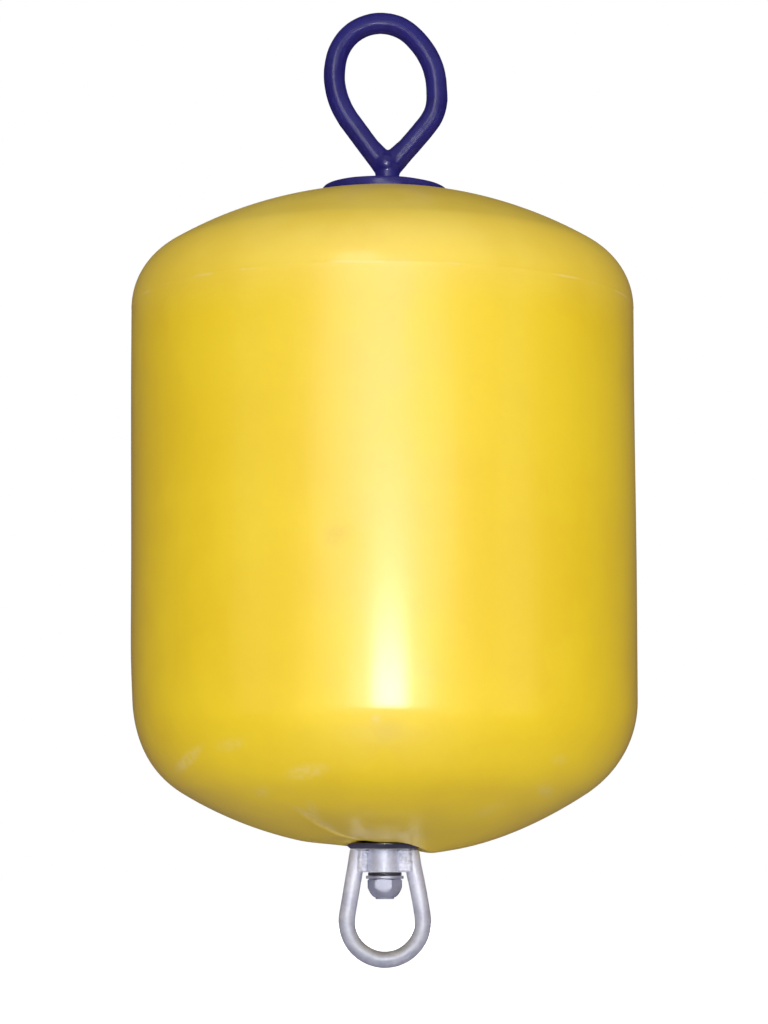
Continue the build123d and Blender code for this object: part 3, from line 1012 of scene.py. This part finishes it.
class BUOY_OT_swivel(Operator):
    """Makes the galvanised hub and the bail welded to both its sides"""
    bl_idname = "buoy.swivel"
    bl_label = "Swivel"

    def execute(self, context):
        s = context.scene.buoy_swivel
        zinc = zinc_material(context.scene.buoy_finish)
        low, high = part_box("swivel_hub")
        hub = lathe("hub_casting", ring_outline(low, high, HUB_BORE, HUB_EDGE, HUB_ROWS), 128)
        roughen(hub, (0.12 * MM, 90.0, 5))
        new_piece("hub_casting", hub, zinc, "swivel", "galvanised_steel", "swivel_hub")

        leg_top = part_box("bottom_plate")[0].z - BAIL_HEAD_GAP
        bar = bar_mesh("bail_bar", bail_path(s, high.z, leg_top), s.bail / 2, zinc, 36)
        lines = [[(side * x_top * MM, face * y_top * MM, high.z - WELD_HEAD),
                  (side * x_foot * MM, face * y_foot * MM, low.z + WELD_FOOT)]
                 for side, x_top, y_top, x_foot, y_foot in WELD_RUNS for face in (-1, 1)]
        count, lowest, reach, half = CROSS_WELDS
        levels = np.linspace(low.z + lowest, high.z - WELD_HEAD, count)
        lines += [[(side * (high.x + reach), y, level) for y in (-half, half)]
                  for side in (-1, 1) for level in levels]
        welds = grown("bail_welds", lines, weld_tree(), {"Ripple Radius": s.weld, "Pitch": s.pitch,
                                                         "Seed": 4, "Material": zinc})
        bail = fused("swivel_bail_bar", [bar, welds], voxel=0.75 * MM, smooth_steps=3)
        points = coords(bail)
        points[:, 2] = np.minimum(points[:, 2], leg_top)
        set_coords(bail, points)
        roughen(bail, (0.14 * MM, 80.0, 7), (0.06 * MM, 260.0, 8))
        new_piece("swivel_bail_bar", bail, zinc, "swivel", "galvanised_steel", "swivel_bail")
        return {"FINISHED"}


def nut_mesh(name, low, high, centre):
    """A hexagon nut whose ends are turned down, with softly broken edges."""
    flats = high.y
    corner = flats * 2 / sqrt(3)
    turned = [(low.z + rise * MM, radius * MM) for rise, radius in NUT_TAPER]
    turned += [(low.z + NUT_WHOLE, corner), (high.z - NUT_CHAMFER, corner), (high.z, flats)]
    bands = [np.linspace(a[0], b[0], 14, endpoint=False) for a, b in zip(turned, turned[1:])]
    heights = np.concatenate([*bands, [high.z]])
    limit = np.interp(heights, *zip(*turned))
    angles = np.linspace(0, 2 * pi, 360, endpoint=False)
    hexagon = flats / np.cos((angles + NUT_TURN) % (pi / 3) - pi / 6)
    radius = -NUT_SOFT * np.log(np.exp(-hexagon[:, None] / NUT_SOFT) + np.exp(-limit[None, :] / NUT_SOFT))
    bore = np.full((len(angles), 1), ROD_BORE)
    return ring_mesh(name, angles, np.concatenate((bore, radius, bore), axis=1),
                     np.concatenate(([low.z], heights, [high.z])), centre)


class BUOY_OT_fastening(Operator):
    """Makes the washers, the lock nut and the rod's end below the hub"""
    bl_idname = "buoy.fastening"
    bl_label = "Washers and nut"

    def execute(self, context):
        finish = context.scene.buoy_finish
        plated = plated_material(finish)
        bearing = bearing_material(finish)
        hang = context.scene.buoy_swivel.hang
        for name, node, material, slot_name, edge in (
                ("thrust_ring", "thrust_washer", bearing, "black_bearing", 0.7 * MM),
                ("washer_ring", "flat_washer", plated, "plated_steel", 0.5 * MM)):
            low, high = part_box(node)
            ring = lathe(name, ring_outline(low, high, ROD_BORE, edge), 128, hang)
            new_piece(name, ring, material, "buoy", slot_name, node)
        low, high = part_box("lock_nut")
        nut = nut_mesh("hex_nut", low, high, hang)
        new_piece("hex_nut", nut, plated, "buoy", "plated_steel", "lock_nut")
        rod_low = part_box("eye_rod")[0].z
        outline = [(radius * MM, low.z + rise * MM) for radius, rise in ROD_END]
        outline = [(0.0, outline[0][1]), *outline, (ROD_TIP, rod_low), (0.0, rod_low)]
        new_piece("rod_end", lathe("rod_end", outline, 96, hang), plated, "buoy", "plated_steel")
        return {"FINISHED"}


# Stage

class BUOY_OT_studio(Operator):
    """Sets up the camera, the soft lights, the pale floor and the colour management"""
    bl_idname = "buoy.studio"
    bl_label = "Studio"

    def execute(self, context):
        s = context.scene.buoy_stage
        scene = context.scene
        scene.view_settings.view_transform = "Standard"
        scene.view_settings.look = "None"
        camera = bpy.data.cameras.new("camera")
        camera.lens = s.lens
        camera.sensor_width = 36.0
        camera.shift_y = s.shift
        eye = bpy.data.objects.new("camera", camera)
        eye.location = (0, -s.camera_distance, s.camera_level)
        eye.rotation_euler = (pi / 2 + s.camera_pitch, 0, 0)
        scene.collection.objects.link(eye)
        scene.camera = eye

        # Columns: name, power, width, height, place, whether it lights surfaces or shows in reflections
        key_place = (s.key_shift, -s.camera_distance, s.key_level)
        for name, power, width, height, place, lit in (
                ("key_softbox", s.key_power, s.key_width, s.key_height, key_place, False),
                ("skirt_softbox", s.skirt_power, 1.9, s.key_height, key_place, False),
                ("strip_softbox", s.strip_power, 0.7, 1.1, (0.06, -2.9, 0.42), False),
                ("wide_softbox", s.wide_power, 3.4, 1.2, (0, -2.8, 0.36), False),
                ("high_softbox", s.high_power, 0.9, 0.7, (-0.55, -2.7, 1.2), False),
                ("front_fill", s.front_power, 1.2, 1.8, (0, -2.9, 0.3), True),
                ("top_softbox", s.top_power, 2.6, 2.2, (0, -1.8, 2.6), True),
                ("left_fill", s.left_power, 1.0, 1.6, (-2.45, -1.5, 0.0), True),
                ("right_fill", s.right_power, 1.0, 1.6, (2.45, -1.5, 0.0), True),
                ("low_bounce", s.low_power, 1.2, 1.2, (0, -1.7, -1.9), True),
                ("back_fill", s.back_power, 1.6, 1.6, (0, 2.7, 0.3), True)):
            light = bpy.data.lights.new(name, "AREA")
            light.shape = "ELLIPSE"
            light.size = width
            light.size_y = height
            light.energy = power
            if name in ("left_fill", "right_fill"):
                light.color = s.side_tint
            lamp = bpy.data.objects.new(name, light)
            lamp.location = place
            lamp.rotation_euler = (-Vector(place)).to_track_quat("-Z", "Y").to_euler()
            lamp.visible_camera = False
            lamp.visible_diffuse = lit
            lamp.visible_glossy = not lit
            scene.collection.objects.link(lamp)

        world = bpy.data.worlds.new("studio")
        scene.world = world
        world.use_nodes = True
        tree = world.node_tree
        tree.nodes.clear()
        path = add(tree, "ShaderNodeLightPath")
        ray = add(tree, "ShaderNodeTexCoord").outputs["Generated"]
        _, away, rise = add(tree, "ShaderNodeSeparateXYZ", {0: ray}).outputs
        mirrored = mixed(tree, ramp(tree, away, *BACK_TO_FRONT), s.behind, s.sheen)
        ceiling = mixed(tree, path.outputs["Is Glossy Ray"], s.above, mirrored)
        room = mixed(tree, ramp(tree, rise, *WALL_TO_CEILING), s.around, ceiling)
        room = mixed(tree, ramp(tree, rise, *WALL_TO_GROUND), room, s.beneath)
        fill = add(tree, "ShaderNodeBackground", {"Color": room, "Strength": 1.0})
        seen = add(tree, "ShaderNodeBackground", {"Color": (1, 1, 1, 1), "Strength": 1.0})
        mix = add(tree, "ShaderNodeMixShader", {"Fac": path.outputs["Is Camera Ray"],
                                                1: fill.outputs["Background"],
                                                2: seen.outputs["Background"]})
        add(tree, "ShaderNodeOutputWorld", {"Surface": mix.outputs["Shader"]})

        level = CAD_BOX[0].z - s.floor_gap
        corners = [(x * FLOOR_REACH, y * FLOOR_REACH, level)
                   for x, y in ((-1, -1), (1, -1), (1, 1), (-1, 1))]
        mesh = mesh_from("floor", corners, [(0, 1, 2, 3)])
        floor = bpy.data.objects.new("floor", mesh)
        paint = new_material("pale_floor", Base_Color=(0.9, 0.9, 0.9, 1), Emission_Color=(1, 1, 1, 1),
                             Emission_Strength=0.9)[0]
        mesh.materials.append(paint)
        floor.visible_diffuse = False
        floor.visible_glossy = False
        floor.visible_shadow = False
        scene.collection.objects.link(floor)
        return {"FINISHED"}


class BUOY_PT_sidebar(Panel):
    """Lists the buoy's settings and the steps that build it"""
    bl_idname = "BUOY_PT_sidebar"
    bl_label = "Mooring buoy"
    bl_space_type = "VIEW_3D"
    bl_region_type = "UI"
    bl_category = "Buoy"

    def draw(self, context):
        for operator in OPERATORS:
            self.layout.operator(operator.bl_idname)
        for name, settings in SETTINGS:
            box = self.layout.box()
            box.label(text=settings.__doc__)
            for key in settings.__annotations__:
                box.prop(getattr(context.scene, name), key)


SETTINGS = (("buoy_float", BUOY_PG_float), ("buoy_eye", BUOY_PG_eye), ("buoy_swivel", BUOY_PG_swivel),
            ("buoy_finish", BUOY_PG_finish), ("buoy_stage", BUOY_PG_stage))
OPERATORS = (BUOY_OT_studio, BUOY_OT_float_skin, BUOY_OT_mooring_eye, BUOY_OT_swivel, BUOY_OT_fastening)


def register():
    """Registers the settings, the operators and the panel."""
    for name, settings in SETTINGS:
        bpy.utils.register_class(settings)
        setattr(bpy.types.Scene, name, PointerProperty(type=settings))
    for cls in OPERATORS + (BUOY_PT_sidebar,):
        bpy.utils.register_class(cls)


def unregister():
    """Removes what register added."""
    for cls in reversed(OPERATORS + (BUOY_PT_sidebar,)):
        bpy.utils.unregister_class(cls)
    for name, settings in reversed(SETTINGS):
        delattr(bpy.types.Scene, name)
        bpy.utils.unregister_class(settings)


def main():
    """Builds the buoy and its studio."""
    register()
    bpy.ops.buoy.studio()
    bpy.ops.buoy.float_skin()
    bpy.ops.buoy.mooring_eye()
    bpy.ops.buoy.swivel()
    bpy.ops.buoy.fastening()


if __name__ == "__main__":
    main()
